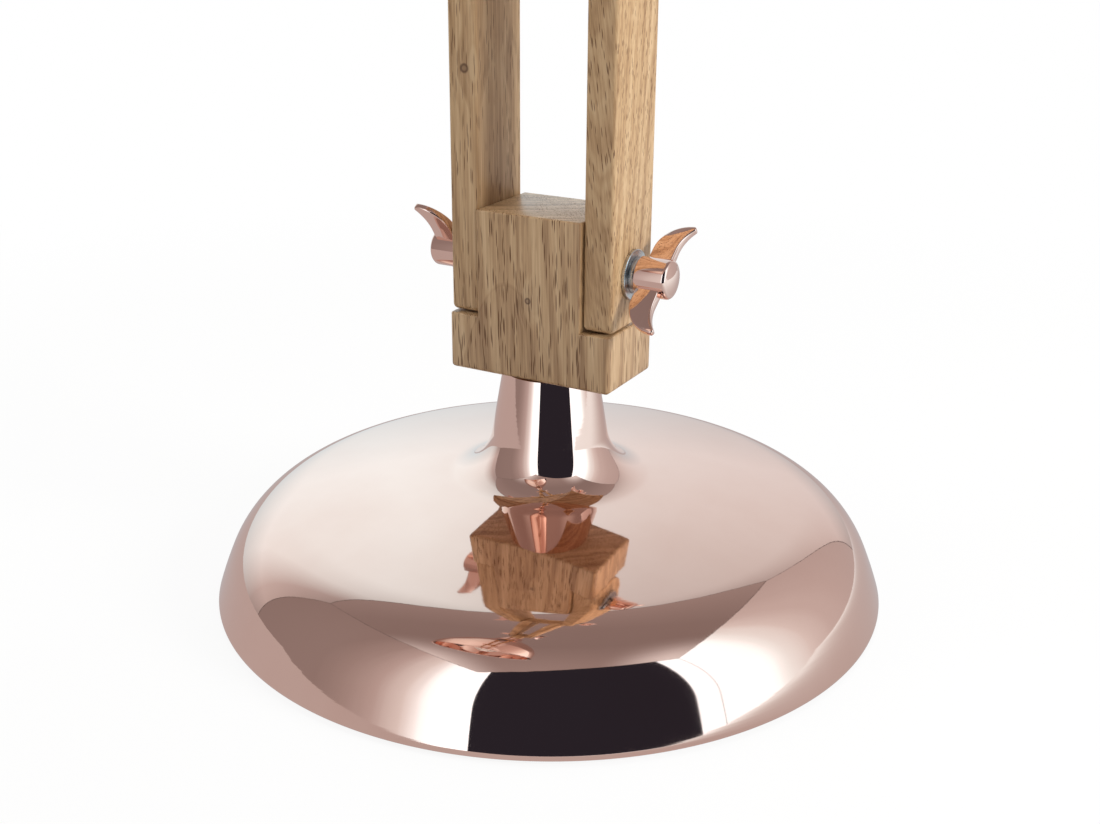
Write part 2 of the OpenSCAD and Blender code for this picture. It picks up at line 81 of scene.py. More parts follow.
# %% [markdown]
# ## Where the arms lean
#
# The upper arm leans forward from the elbow and the shade hangs from the arm's end at an angle. The
# lean can be read from the two pivots, so it is worked out and not typed in. Each matrix below carries
# a piece from the place where it is easy to model, upright at the origin, to its place on the lamp.

# %% Places on the lamp
shade_tilt = math.radians(55)
along_upper = pivot["head_tilt"] - pivot["elbow_tilt"]
upper_lean = math.atan2(-along_upper.y, along_upper.z)
at_base = Matrix.Translation(pivot["lower_tilt"])
at_elbow = Matrix.Translation(pivot["elbow_tilt"])
at_upper = at_elbow @ Matrix.Rotation(upper_lean, 4, "X")
at_head_pivot = at_upper @ Matrix.Translation((0, 0, along_upper.length))
at_head = Matrix.Translation(pivot["head_tilt"]) @ Matrix.Rotation(-shade_tilt, 4, "X")
print("upper lean", round(math.degrees(upper_lean), 2))

# %% [markdown]
# ## The camera
#
# The photograph looks down on the base from the front right. Its distance, height and turn were found
# by laying the rim's ellipse, the block and the bars over the picture, and the focal length follows
# from how fast the bars widen towards the camera.

# %% Camera
photo_w = 1100
focal_px = 1384.83
camera_turn = math.radians(29.12)
camera_rise = math.radians(27.62)
camera_far = 431.24 * mm
camera_pitch = math.radians(21.03)
camera_roll = math.radians(0.35)
rim_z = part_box("base_shell")[0].z
camera_place = Vector((0, 0, rim_z)) + camera_far * Vector((
    math.cos(camera_rise) * math.sin(camera_turn),
    -math.cos(camera_rise) * math.cos(camera_turn),
    math.sin(camera_rise),
))
camera = bpy.data.objects.new("camera", bpy.data.cameras.new("camera"))
camera.matrix_world = (
    Matrix.Translation(camera_place)
    @ Matrix.Rotation(camera_turn, 4, "Z")
    @ Matrix.Rotation(math.pi / 2 - camera_pitch, 4, "X")
    @ Matrix.Rotation(camera_roll, 4, "Z")
)
camera.data.sensor_width = 36
camera.data.lens = camera.data.sensor_width * focal_px / photo_w
camera.data.clip_start = 0.01
scene.collection.objects.link(camera)
scene.camera = camera
print("camera at", camera_place, "lens", round(camera.data.lens, 2))

# %% [markdown]
# ## Shader sums in plain Python
#
# A procedural finish is mostly arithmetic on a few textures. Adding each Math node by hand hides the
# idea, so a small class wraps a node's output and turns Python's operators into Math nodes. One method
# adds any other node.

# %% A wire and a finish


def linear_light(value):
    """One channel of a colour on a screen, 0 to 255, turned to the linear light that shaders use."""
    share = value / 255
    if share < 0.04:
        return share / 12.92
    return ((share + 0.055) / 1.055) ** 2.4


def rgb(red, green, blue):
    return (linear_light(red), linear_light(green), linear_light(blue), 1)


def grey(level):
    return (level, level, level, 1)


class Wire:
    """One output of a shader node, for use in sums."""

    def __init__(self, finish, socket):
        self.finish = finish
        self.socket = socket

    def sum(self, operation, first, second):
        return self.finish.node("Math", {"operation": operation}, {0: first, 1: second})

    def __add__(self, other):
        return self.sum("ADD", self, other)

    def __sub__(self, other):
        return self.sum("SUBTRACT", self, other)

    def __rsub__(self, other):
        return self.sum("SUBTRACT", other, self)

    def __mul__(self, other):
        return self.sum("MULTIPLY", self, other)

    def __truediv__(self, other):
        return self.sum("DIVIDE", self, other)

    def __pow__(self, other):
        if other == 2:
            return self * self
        return self.sum("POWER", self, other)

    __radd__ = __add__
    __rmul__ = __mul__


class Finish:
    """A material and the ways to add nodes to it."""

    def __init__(self, name, tree=None):
        if tree is None:
            self.material = bpy.data.materials.new(name)
            self.material.use_nodes = True
            tree = self.material.node_tree
        self.tree = tree
        self.tree.nodes.clear()

    def node(self, kind, settings, sockets, out=0):
        made = self.tree.nodes.new("ShaderNode" + kind)
        for key, value in settings.items():
            if key == "stops":
                self.set_stops(made.color_ramp.elements, value)
            else:
                setattr(made, key, value)
        for key, value in sockets.items():
            if isinstance(value, Wire):
                self.tree.links.new(value.socket, made.inputs[key])
            else:
                made.inputs[key].default_value = value
        return Wire(self, made.outputs[out]) if made.outputs else None

    def set_stops(self, elements, stops):
        while len(elements) < len(stops):
            elements.new(1)
        for element, (position, colour) in zip(elements, stops):
            element.position = position
            element.color = colour

    def place(self):
        return self.node("TexCoord", {}, {}, "Object")

    def turned(self, place, turn=(0, 0, 0), scale=(1, 1, 1), shift=(0, 0, 0)):
        sockets = {"Vector": place, "Rotation": turn, "Scale": scale, "Location": shift}
        return self.node("Mapping", {}, sockets)

    def split(self, place):
        made = self.node("SeparateXYZ", {}, {"Vector": place})
        return [Wire(self, socket) for socket in made.socket.node.outputs]

    def noise(self, place, scale, detail=2, roughness=0.5):
        sockets = {"Vector": place, "Scale": scale, "Detail": detail, "Roughness": roughness}
        return self.node("TexNoise", {}, sockets)

    def noise_along(self, value, scale):
        """Noise that changes with one number only, so it draws lines where that number is the same."""
        sockets = {"W": value, "Scale": scale, "Detail": 3}
        return self.node("TexNoise", {"noise_dimensions": "1D"}, sockets)

    def step(self, value, low, high):
        """0 below low, 1 above high, smooth between them; low may be the larger one."""
        sockets = {"Value": value, "From Min": low, "From Max": high}
        return self.node("MapRange", {"interpolation_type": "SMOOTHSTEP"}, sockets)

    def mix(self, share, first, second):
        return self.node("Mix", {"data_type": "RGBA"}, {0: share, 6: first, 7: second}, 2)

    def ramp(self, value, stops):
        return self.node("ValToRGB", {"stops": stops}, {"Fac": value})

    def bump(self, height, depth, strength=1):
        return self.node("Bump", {}, {"Height": height, "Distance": depth, "Strength": strength})

    def surface(self, **sockets):
        named = {key.replace("_", " "): value for key, value in sockets.items()}
        shader = self.node("BsdfPrincipled", {}, named)
        self.show(shader)
        return self.material

    def show(self, shader):
        self.node("OutputMaterial", {"target": "ALL"}, {"Surface": shader})


print("shader helpers ready")

# %% [markdown]
# ## Polished copper plating
#
# The base, the shade and the wing nuts are plated with bright rose copper. The metal hardly has a
# colour of its own: it mirrors the room through a warm tint. What makes it real is how the mirror is
# not perfect. Spinning and polishing leave fine rings, so the spun pieces get a ripple that runs with
# the distance from their axis.

# %% Copper
copper_tint = (0.95, 0.68, 0.58, 1)
copper_worn = (0.91, 0.63, 0.53, 1)


def copper(name, turn=(0, 0, 0), shift=(0, 0, 0), ripple=0.0):
    finish = Finish(name)
    place = finish.turned(finish.place(), turn=turn, shift=shift)
    x, y, z = finish.split(place)
    cloud = finish.noise(place, 18, 4, 0.6)
    dust = finish.noise(place, 900, 3, 0.6)
    tint = finish.mix(finish.step(cloud, 0.3, 0.75), copper_tint, copper_worn)
    roughness = 0.028 + 0.03 * finish.step(cloud, 0.35, 0.8) + 0.05 * finish.step(dust, 0.62, 0.8)
    height = 0.3 * finish.noise(place, 90, 2)
    if ripple:
        from_axis = (x * x + y * y) ** 0.5
        height = height + ripple * finish.noise_along(from_axis - z, 420)
    return finish.surface(
        Base_Color=tint, Metallic=1.0, Roughness=roughness, Normal=finish.bump(height, 0.003 * mm)
    )


base_copper = copper("base_copper", ripple=1.0)
nut_copper = copper("nut_copper")
print("copper ready")

# %% [markdown]
# ## Open-pored hardwood
#
# The block and the bars are a straight-grained hardwood under a thin satin lacquer. Growth rings are
# tubes round the tree's pith, so their pattern is the distance from a slightly leaning line: a flat
# face then cuts them into stripes or into tall arches, as a saw does. Pores are short tubes along the
# grain. They show as dark dashes on the sides and as dots on an end, because the faces simply cut
# through one pattern that fills space.

# %% Wood
wood_pale = rgb(202, 171, 131)
wood_mid = rgb(180, 145, 104)
wood_dark = rgb(134, 97, 60)
wood_pore = rgb(86, 48, 22)
wood_knot = rgb(80, 47, 25)
ring_w = 2.6 * mm
pore_gap = 0.5 * mm
pore_stretch = 0.055


def wood(
    name, seed, turn=(0, 0, 0), pith=(-60, 80, 0, 0.02), tone=0.0, knots=(), arch=None,
    lacquer=0.25, pore_w=0.29,
):
    """Wood with its grain along Z once turned.

    pith is the ring centre across, along and up, in mm, and its lean. knots are places across and up, each
    with a radius. arch is the top of a darker patch with an arched edge, across and up. pore_w is a share of
    the pores' spacing.
    """
    finish = Finish(name)
    place = finish.turned(finish.place(), turn=turn)
    x, y, z = finish.split(place)
    shift = (0.37 * seed, 0.61 * seed, 0.23 * seed)
    swirl = 0.0
    core = 0.0
    for across, up, size in knots:
        beside, above = (x - across) ** 2, (z - up) ** 2
        away = (beside + above) ** 0.5
        swirl = swirl + finish.step((beside + 0.35 * above) ** 0.5, 6 * size, 0)
        edge = finish.step(away, 1.25 * size, 0.75 * size)
        core = core + edge * (1 - 0.55 * finish.step(away, 0.75 * size, 0.3 * size))
    pith_x, pith_y, pith_z, lean = pith
    from_x = x - pith_x * mm
    from_y = y - pith_y * mm - lean * (z - pith_z * mm)
    drift = finish.noise(finish.turned(place, scale=(1, 1, 0.16), shift=shift), 70, 2)
    bands = (from_x ** 2 + from_y ** 2) ** 0.5 / ring_w + 1.6 * drift + 0.9 * swirl
    rings = finish.noise_along(bands + seed, 1.0)
    fibre = finish.noise(finish.turned(place, scale=(1, 1, 0.025), shift=shift), 1700, 3, 0.6)
    streak = finish.noise(finish.turned(place, scale=(1, 1, 0.03), shift=shift), 420, 2)
    drawn_out = finish.turned(place, scale=(1, 1, pore_stretch), shift=shift)
    sockets = {"Vector": drawn_out, "Scale": 1 / pore_gap, "Randomness": 1}
    cells = finish.node("TexVoronoi", {"feature": "F1"}, sockets)
    where = finish.noise(finish.turned(place, scale=(1, 1, 0.3), shift=shift), 150, 2)
    pores = finish.step(cells, pore_w, 0.6 * pore_w) * finish.step(where, 0.27, 0.5)
    shade = 0.5 * finish.step(rings, 0.32, 0.68) + 0.44 * finish.step(fibre, 0.3, 0.7)
    shade = shade + 0.5 * (streak - 0.5) + tone - 0.09
    if arch:
        across, up = x - arch[0], z - arch[1]
        below = -1 * up - 110 * across ** 2
        patch = finish.step(below, -0.4 * mm, 0.6 * mm) * finish.step(below, 24 * mm, 2 * mm)
        line = finish.step(below ** 2, (0.8 * mm) ** 2, 0) * finish.step(across, 7 * mm, 5 * mm)
        shade = shade + 0.12 * patch + 0.12 * line
    colour = finish.ramp(shade, [(0.0, wood_pale), (0.45, wood_mid), (1.0, wood_dark)])
    colour = finish.mix(pores * 0.85, colour, wood_pore)
    if knots:
        colour = finish.mix(core * 0.75 + swirl * 0.12, colour, wood_knot)
    return finish.surface(
        Base_Color=colour,
        Roughness=0.5 + 0.2 * pores + 0.1 * fibre,
        Normal=finish.bump(fibre * 0.25 - pores, 0.06 * mm),
        Coat_Weight=(1 - pores) * lacquer,
        Coat_Roughness=0.28,
    )


print("wood ready")

# %% [markdown]
# ## The smaller finishes
#
# Washers and studs are zinc-plated steel, dull and slightly mottled. The parts of the lampholder that
# carry current are brass, its shell is black moulded plastic, the ballast is raw cast iron and the foot
# is felt.

# %% Steel, brass, iron, plastic, felt and opal glass


def plain_metal(name, pale, dark, rough):
    finish = Finish(name)
    place = finish.place()
    mottle = finish.noise(place, 420, 4, 0.65)
    scratch = finish.noise(finish.turned(place, scale=(0.05, 1, 1)), 2600, 2)
    return finish.surface(
        Base_Color=finish.mix(mottle, pale, dark),
        Metallic=1.0,
        Roughness=rough + 0.16 * mottle,
        Normal=finish.bump(scratch, 0.01 * mm),
    )


def rough_solid(name, pale, dark, rough, grain, depth):
    finish = Finish(name)
    place = finish.place()
    coarse = finish.noise(place, grain, 5, 0.7)
    cloud = finish.noise(place, grain / 12, 2)
    return finish.surface(
        Base_Color=finish.mix(finish.step(cloud * 0.5 + coarse * 0.5, 0.3, 0.7), dark, pale),
        Roughness=rough + 0.15 * coarse,
        Normal=finish.bump(coarse, depth),
    )


steel = plain_metal("zinc_steel", grey(0.67), grey(0.50), 0.2)
brass = plain_metal("turned_brass", (0.86, 0.70, 0.38, 1), (0.70, 0.54, 0.26, 1), 0.2)
iron = rough_solid("cast_iron", (0.10, 0.10, 0.105, 1), (0.045, 0.045, 0.048, 1), 0.65, 900, 0.12 * mm)
felt = rough_solid("black_felt", (0.05, 0.05, 0.052, 1), (0.015, 0.015, 0.016, 1), 0.85, 2600, 0.3 * mm)
plastic = rough_solid(
    "black_plastic", (0.022, 0.022, 0.024, 1), (0.014, 0.014, 0.015, 1), 0.22, 1500, 0.01 * mm
)


def opal_glass():
    finish = Finish("opal_glass")
    cloud = finish.noise(finish.place(), 60, 3)
    return finish.surface(
        Base_Color=finish.mix(cloud, (0.93, 0.92, 0.88, 1), (0.86, 0.85, 0.81, 1)),
        Roughness=0.08 + 0.06 * cloud,
        Coat_Weight=0.5,
    )


opal = opal_glass()
finish_of = {"steel": steel, "brass": brass, "iron": iron, "felt": felt, "black": plastic, "opal": opal}
for node_name, node_object in frame["nodes"].items():
    look = finish_of.get(slot_of[node_name], nut_copper)
    node_object.data.materials.clear()
    node_object.data.materials.append(look)
print("finishes on", len(frame["nodes"]), "nodes")

# %% [markdown]
# ## From a bmesh to a piece
#
# Each piece below stands for one node of the frame. It rides on that node's body, which is looked up,
# so a piece needs only its mesh, its node and its finish.

# %% Piece helper
soft_angle = math.radians(38)
weld = 0.001 * mm
origin = (0, 0, 0)
up_axis = (0, 0, 1)


def piece(node_name, bm, look, place=None):
    if place is not None:
        bmesh.ops.transform(bm, matrix=place, verts=bm.verts)
    bmesh.ops.recalc_face_normals(bm, faces=bm.faces)
    mesh = bpy.data.meshes.new(node_name + "_look")
    bm.to_mesh(mesh)
    bm.free()
    mesh.shade_smooth()
    mesh.set_sharp_from_angle(angle=soft_angle)
    made = bpy.data.objects.new(node_name + "_look", mesh)
    scene.collection.objects.link(made)
    mesh.materials.append(look)
    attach(made, frame["nodes"][node_name]["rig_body"])
    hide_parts(node_name)
    print(made.name, len(mesh.polygons), "faces")
    return made


def spun(bm, section, steps, closed=True):
    """Spins a section, a list of distances from the Z axis and heights, into a round shape."""
    points = [bm.verts.new((across, 0, up)) for across, up in section]
    pairs = list(zip(points, points[1:]))
    if closed:
        pairs.append((points[-1], points[0]))
    edges = [bm.edges.new(pair) for pair in pairs]
    bmesh.ops.spin(
        bm, geom=points + edges, cent=origin, axis=up_axis, dvec=origin, angle=2 * math.pi, steps=steps,
        use_merge=True,
    )
    bmesh.ops.remove_doubles(bm, verts=bm.verts, dist=weld)
    return bm


print("piece helpers ready")

# %% [markdown]
# ## The outline of a spun bell
#
# The base and the shade are sheet metal, spun over a form. Both have the same kind of outline: a
# leaning neck, a hollow flare, a dome, a tighter shoulder and a bowed wall that ends in a rolled edge.
# Every stretch is an arc that starts at the slope where the last one stopped, so nothing breaks the
# mirror. A station is a point of the outline with its slope down from level.

# %% Bell outline
arc_points = 24
roll_clear = 0.05 * mm


def outward(slope):
    return Vector((math.sin(slope), math.cos(slope)))


def bend(start, radius, slope):
    """Stations from start along an arc to a slope; a negative radius hollows the outline."""
    at, first = start
    slopes = [first + (slope - first) * i / arc_points for i in range(arc_points + 1)]
    return [(at + radius * (outward(a) - outward(first)), a) for a in slopes]


def bell(
    neck_r, neck_lean, height, flare_r, foot_h, foot_slope, shoulder_r, wall_r, top_lean, mouth_lean, mouth
):
    neck_slope = math.pi / 2 - neck_lean
    wall_slope = math.pi / 2 - top_lean
    mouth_slope = math.pi / 2 - mouth_lean
    neck_h = height - foot_h - flare_r * (math.cos(foot_slope) - math.cos(neck_slope))
    neck_foot = (Vector((neck_r + neck_h * math.tan(neck_lean), height - neck_h)), neck_slope)
    flare = bend(neck_foot, -flare_r, foot_slope)
    wall_top = mouth + wall_r * (outward(wall_slope) - outward(mouth_slope))
    shoulder_c = wall_top - shoulder_r * outward(wall_slope)
    span = flare[-1][0] - shoulder_c
    dome_r = (span.dot(span) - shoulder_r ** 2) / (2 * (span.dot(outward(foot_slope)) - shoulder_r))
    to_shoulder = dome_r * outward(foot_slope) - span
    dome = bend(flare[-1], dome_r, math.atan2(to_shoulder.x, to_shoulder.y))
    shoulder = bend(dome[-1], shoulder_r, wall_slope)
    wall = bend(shoulder[-1], wall_r, mouth_slope)
    return [(Vector((neck_r, height)), neck_slope)] + flare + dome[1:] + shoulder[1:] + wall[1:]


def sheet_section(stations, thick, hole_r, roll_r, depth):
    """The sheet's closed section: outside, rolled edge, inside, and the flat top with its hole."""
    neck, neck_slope = stations[0]
    neck_lean = math.pi / 2 - neck_slope
    end, slope = stations[-1]
    out = outward(slope)
    down = Vector((out.y, -out.x))
    centre = end - depth * out
    first = -math.acos(depth / roll_r)
    last = 2 * math.pi - math.acos((depth - thick) / roll_r)
    turns = [first + (last - first) * i / arc_points for i in range(arc_points + 1)]
    roll = [centre + roll_r * (math.cos(a) * out + math.sin(a) * down) for a in turns]
    outside = [at for at, _ in stations if at.y > roll[0].y + roll_clear]
    inside = [at - thick * outward(a) for at, a in reversed(stations[1:])]
    inside = [at for at in inside if at.y > roll[-1].y + roll_clear]
    plate_r = neck.x + thick * math.tan(neck_lean) - thick / math.cos(neck_lean)
    plate = [Vector((plate_r, neck.y - thick)), Vector((hole_r, neck.y - thick))]
    return [Vector((hole_r, neck.y))] + outside + roll + inside + plate


print("bell outline ready")

# %% [markdown]
# ## The base
#
# The base is the part that fills the picture, and it is all mirror. It is spun in fine steps, so the
# reflections bend smoothly, and closed at the rim with a rolled edge.

# %% Base shell
base_d = 199 * mm
base_h = 67 * mm
base_t = 1.2 * mm
neck_r = 13.8 * mm
neck_lean = math.radians(9.5)
flare_r = 15 * mm
dome_h = 34.8 * mm
dome_slope = math.radians(5.5)
shoulder_r = 27.8 * mm
skirt_r = 115 * mm
skirt_top_lean = math.radians(23.7)
rim_lean = math.radians(18)
rim_roll_r = 1.2 * mm
rod_hole_r = 4.3 * mm
rim_end = Vector((
    base_d / 2 - rim_roll_r * (1 - math.cos(rim_lean)),
    rim_roll_r * (1 + math.sin(rim_lean)),
))
base_line = bell(
    neck_r, neck_lean, base_h, flare_r, dome_h, dome_slope, shoulder_r, skirt_r, skirt_top_lean, rim_lean,
    rim_end,
)
base_steps = 256
base_section = sheet_section(base_line, base_t, rod_hole_r, rim_roll_r, rim_roll_r)
shell = spun(bmesh.new(), base_section, base_steps)
piece("base_shell", shell, base_copper, Matrix.Translation((0, 0, rim_z)))

# %% [markdown]
# ## The foot pad
#
# A thick felt disc keeps the rim off the table. Its edge is soft, so a small round is turned on it.

# %% Foot pad
pad_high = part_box("base_pad")[1]
pad_round = 0.8 * mm
pad_round_steps = 6
pad_edge = pad_high.x - pad_round
pad_section = [(0, 0)]
for i in range(pad_round_steps + 1):
    a = -math.pi / 2 + math.pi / 2 * i / pad_round_steps
    pad_section.append((pad_edge + pad_round * math.cos(a), pad_round + pad_round * math.sin(a)))
pad_section += [(pad_high.x, pad_high.z), (0, pad_high.z)]
pad = piece("base_pad", spun(bmesh.new(), pad_section, 128, closed=False), felt)

# %% [markdown]
# ## The wooden block
#
# The block is one piece of wood: a wide foot with a tenon rising from its middle, and the lower bars
# stand on its shoulders. A cube gives the foot. Two cuts across its top mark off the tenon, which is
# drawn up, and then every edge is eased as sandpaper would.

# %% Block
block_low, block_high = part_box("base_block")
shoulder_h = 16.6 * mm
tenon_w = 33 * mm
edge_r = 1.2 * mm
cut_edge_r = 0.6 * mm


def ease(bm, edges, radius, segments=4):
    bmesh.ops.bevel(
        bm, geom=edges, offset=radius, offset_type="OFFSET", affect="EDGES", segments=segments, profile=0.5,
        material=-1,
    )


def sharp_edges(bm, least=math.radians(50)):
    return [e for e in bm.edges if len(e.link_faces) == 2 and e.calc_face_angle() > least]


def board(low, high):
    """A block of wood from its lowest to its highest corner."""
    bm = bmesh.new()
    size = high - low
    middle = Matrix.Translation((low + high) / 2)
    bmesh.ops.create_cube(bm, size=1, matrix=middle @ Matrix.Diagonal((*size, 1)))
    return bm


block = board(block_low, Vector((block_high.x, block_high.y, block_low.z + shoulder_h)))
for side in (-1, 1):
    bmesh.ops.bisect_plane(
        block, geom=block.verts[:] + block.edges[:] + block.faces[:], plane_co=(side * tenon_w / 2, 0, 0),
        plane_no=(1, 0, 0),
    )
tenon = [f for f in block.faces if f.normal.z > 0.9 and abs(f.calc_center_median().x) < tenon_w / 4]
drawn = bmesh.ops.extrude_face_region(block, geom=tenon)
bmesh.ops.delete(block, geom=tenon, context="FACES")
bmesh.ops.translate(
    block, vec=(0, 0, block_high.z - block_low.z - shoulder_h),
    verts=[v for v in drawn["geom"] if isinstance(v, bmesh.types.BMVert)],
)
bmesh.ops.recalc_face_normals(block, faces=block.faces)
touches_foot = block_low.z + 0.1 * mm
ease(block, [e for e in sharp_edges(block) if min(v.co.z for v in e.verts) < touches_foot], edge_r)
ease(block, [e for e in sharp_edges(block) if e.is_convex], cut_edge_r)
knot_up = block_low.z + 23.5 * mm
knot_x = 2 * mm
block_wood = wood(
    "block_wood", 3, turn=(0, 0.02, 0), tone=0.07, knots=[(knot_x, knot_up, 0.95 * mm)],
    arch=(knot_x - 7 * mm, knot_up + 4 * mm), lacquer=0.7, pore_w=0.36,
)
piece("base_block", block, block_wood)

# %% [markdown]
# ## The bars
#
# Four flat bars make the two arms. Each is a board with round ends, and a wide bevel over two edges
# makes a round end. A lower bar's foot is different: a small toe in front stops on the shoulder, and a
# quarter-round heel lets the arm swing forward.

# %% Bars
bar_t = 9 * mm
bar_d = 24.5 * mm
round_end = 0.998 * bar_d / 2
toe_r = 2 * mm
foot_drop = 14.5 * mm
same_level = 0.01 * mm


def cross_edges(bm, y_side, z):
    """The edges along X at one height, in front (-1) or behind (1)."""
    found = []
    for e in bm.edges:
        a, b = e.verts
        level = abs(a.co.z - z) < same_level and abs(b.co.z - z) < same_level
        if level and a.co.y * y_side > 0 and b.co.y * y_side > 0:
            found.append(e)
    return found


def bar(low_z, high_z, x, toe):
    bm = board(Vector((x - bar_t / 2, -bar_d / 2, low_z)), Vector((x + bar_t / 2, bar_d / 2, high_z)))
    ease(bm, cross_edges(bm, 1, high_z) + cross_edges(bm, -1, high_z), round_end, 20)
    if toe:
        ease(bm, cross_edges(bm, 1, low_z), round_end, 20)
        ease(bm, cross_edges(bm, -1, low_z), toe_r, 6)
    else:
        ease(bm, cross_edges(bm, 1, low_z) + cross_edges(bm, -1, low_z), round_end, 20)
    bmesh.ops.remove_doubles(bm, verts=bm.verts, dist=weld)
    ease(bm, sharp_edges(bm), edge_r)
    return bm


bar_looks = {
    "lower_bar_left": wood(
        "lower_left_wood", 5, pith=(-29, 0, 175, 0.07), tone=0.02,
        knots=[(-20.3 * mm, 153.2 * mm, 1.3 * mm)],
    ),
    "lower_bar_right": wood("lower_right_wood", 8, turn=(0.06, 0.13, 0), pith=(40, -50, 100, 0.05)),
    "upper_bar_left": wood(
        "upper_left_wood", 11, turn=(-upper_lean, 0, 0), pith=(-12, 30, 60, 0.06), tone=0.06
    ),
    "upper_bar_right": wood("upper_right_wood", 14, turn=(-upper_lean, 0.05, 0), pith=(50, 30, 60, 0.03)),
}
lower_len = (pivot["elbow_tilt"] - pivot["lower_tilt"]).length
for side in ("left", "right"):
    lower_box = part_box("lower_bar_" + side)
    upper_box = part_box("upper_bar_" + side)
    lower_x = (lower_box[0].x + lower_box[1].x) / 2
    upper_x = (upper_box[0].x + upper_box[1].x) / 2
    lower = bar(-foot_drop, lower_len + bar_d / 2, lower_x, True)
    upper = bar(-bar_d / 2, along_upper.length + bar_d / 2, upper_x, False)
    piece("lower_bar_" + side, lower, bar_looks["lower_bar_" + side], at_base)
    piece("upper_bar_" + side, upper, bar_looks["upper_bar_" + side], at_upper)

# %% [markdown]
# ## Spacer and tongue
#
# A turned wooden spacer keeps the upper bars apart at the elbow. At the other end they hold a wooden
# tongue that carries the shade: a short board with one round end.

# %% Spacer and tongue
spacer_low, spacer_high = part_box("elbow_spacer")
spacer_r = (spacer_high.z - spacer_low.z) / 2
spacer_half = spacer_high.x
bore_r = 3.05 * mm
spacer_round = 0.6 * mm
spacer = spun(bmesh.new(), [
    (bore_r, -spacer_half), (spacer_r - spacer_round, -spacer_half), (spacer_r, spacer_round - spacer_half),
    (spacer_r, spacer_half - spacer_round), (spacer_r - spacer_round, spacer_half), (bore_r, spacer_half),
], 64)
quarter_turn = Matrix.Rotation(math.pi / 2, 4, "Y")
spacer_wood = wood("spacer_wood", 17, turn=(0, math.pi / 2, 0), tone=0.1)
piece("elbow_spacer", spacer, spacer_wood, at_elbow @ quarter_turn)

tongue_low, tongue_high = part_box("head_tongue")
tongue_len = 34 * mm
tongue_edge_r = 0.8 * mm
tongue_top = bar_d / 2
tongue = board(
    Vector((tongue_low.x, -bar_d / 2, -tongue_len)), Vector((tongue_high.x, bar_d / 2, tongue_top))
)
ease(tongue, cross_edges(tongue, 1, tongue_top) + cross_edges(tongue, -1, tongue_top), round_end, 20)
bmesh.ops.remove_doubles(tongue, verts=tongue.verts, dist=weld)
ease(tongue, sharp_edges(tongue), tongue_edge_r)
piece("head_tongue", tongue, wood("tongue_wood", 21, turn=(shade_tilt, 0, 0), tone=0.08), at_head)

# %% [markdown]
# ## Washers
#
# Under every wing nut lies a flat washer and a split spring washer. Both are spun rings with eased
# corners; the spring washer's spin stops short of a full turn, and its two open ends are closed.

# %% Washers
slit_turn = math.radians(12)
washer_hole_r = 3.1 * mm
flat_r = 7.1 * mm
flat_t = 1.1 * mm
spring_r = 5.2 * mm
spring_t = 1.4 * mm


def ring(bm, outer, thick, gap):
    ease_r = 0.15 * thick
    section = [
        (washer_hole_r, 0), (outer - ease_r, 0), (outer, ease_r), (outer, thick - ease_r),
        (outer - ease_r, thick), (washer_hole_r, thick),
    ]
    if not gap:
        return spun(bm, section, 64)
    points = [bm.verts.new((across, 0, up)) for across, up in section]
    edges = [bm.edges.new(pair) for pair in zip(points, points[1:] + points[:1])]
    bmesh.ops.spin(
        bm, geom=points + edges, cent=origin, axis=up_axis, dvec=origin, angle=2 * math.pi - gap, steps=60,
        use_merge=False,
    )
    bmesh.ops.holes_fill(bm, edges=[e for e in bm.edges if e.is_boundary])
    return bm


def washers(node_name, outer, thick, face, gap, place):
    pair = bmesh.new()
    for side in (-1, 1):
        one = ring(bmesh.new(), outer, thick, gap)
        turned = Matrix.Translation((side * face, 0, 0)) @ Matrix.Rotation(side * math.pi / 2, 4, "Y")
        bmesh.ops.transform(one, matrix=turned, verts=one.verts)
        scratch = bpy.data.meshes.new("scratch")
        one.to_mesh(scratch)
        one.free()
        pair.from_mesh(scratch)
        bpy.data.meshes.remove(scratch)
    piece(node_name, pair, steel, place)


lower_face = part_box("lower_bar_right")[1].x
upper_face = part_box("upper_bar_right")[1].x
for joint_name, face, place in (
    ("base", lower_face, at_base), ("elbow", lower_face, at_elbow), ("head", upper_face, at_head_pivot)
):
    washers(joint_name + "_flat_washers", flat_r, flat_t, face, 0.0, place)
    washers(joint_name + "_spring_washers", spring_r, spring_t, face + flat_t, slit_turn, place)

# %% [markdown]
# ## Wing nuts
#
# The six wing nuts are the lamp's liveliest pieces: a round hub with a slightly domed end, and two
# horns that sweep out and away from the wood. A wing is cut from a plate with the horn's outline,
# thinned towards its tip and eased all round. Hub and wings are then joined into one skin.

# %% Wing nut
hub_r = 5.5 * mm
hub_len = 9.6 * mm
hub_crown = 0.6 * mm
hub_round = 1.2 * mm
hub_foot_r = 0.3 * mm
wing_span = 36 * mm
wing_set = 0.7 * mm
wing_root_w = 6.9 * mm
wing_bend_r = 9 * mm
wing_reach = 10.6 * mm
wing_drop = 1 * mm
wing_root_t = 4 * mm
wing_tip_t = 1.8 * mm
wing_tip_w = 0.5 * mm
wing_edge_r = 0.45 * mm
nut_seat = 2.6 * mm
stud_hole_r = 3.05 * mm
stud_hole_deep = 7 * mm


def arc(centre, radii, first, last, steps=14):
    turns = [first + (last - first) * i / steps for i in range(steps + 1)]
    return [(centre[0] + radii[0] * math.cos(a), centre[1] + radii[1] * math.sin(a)) for a in turns]


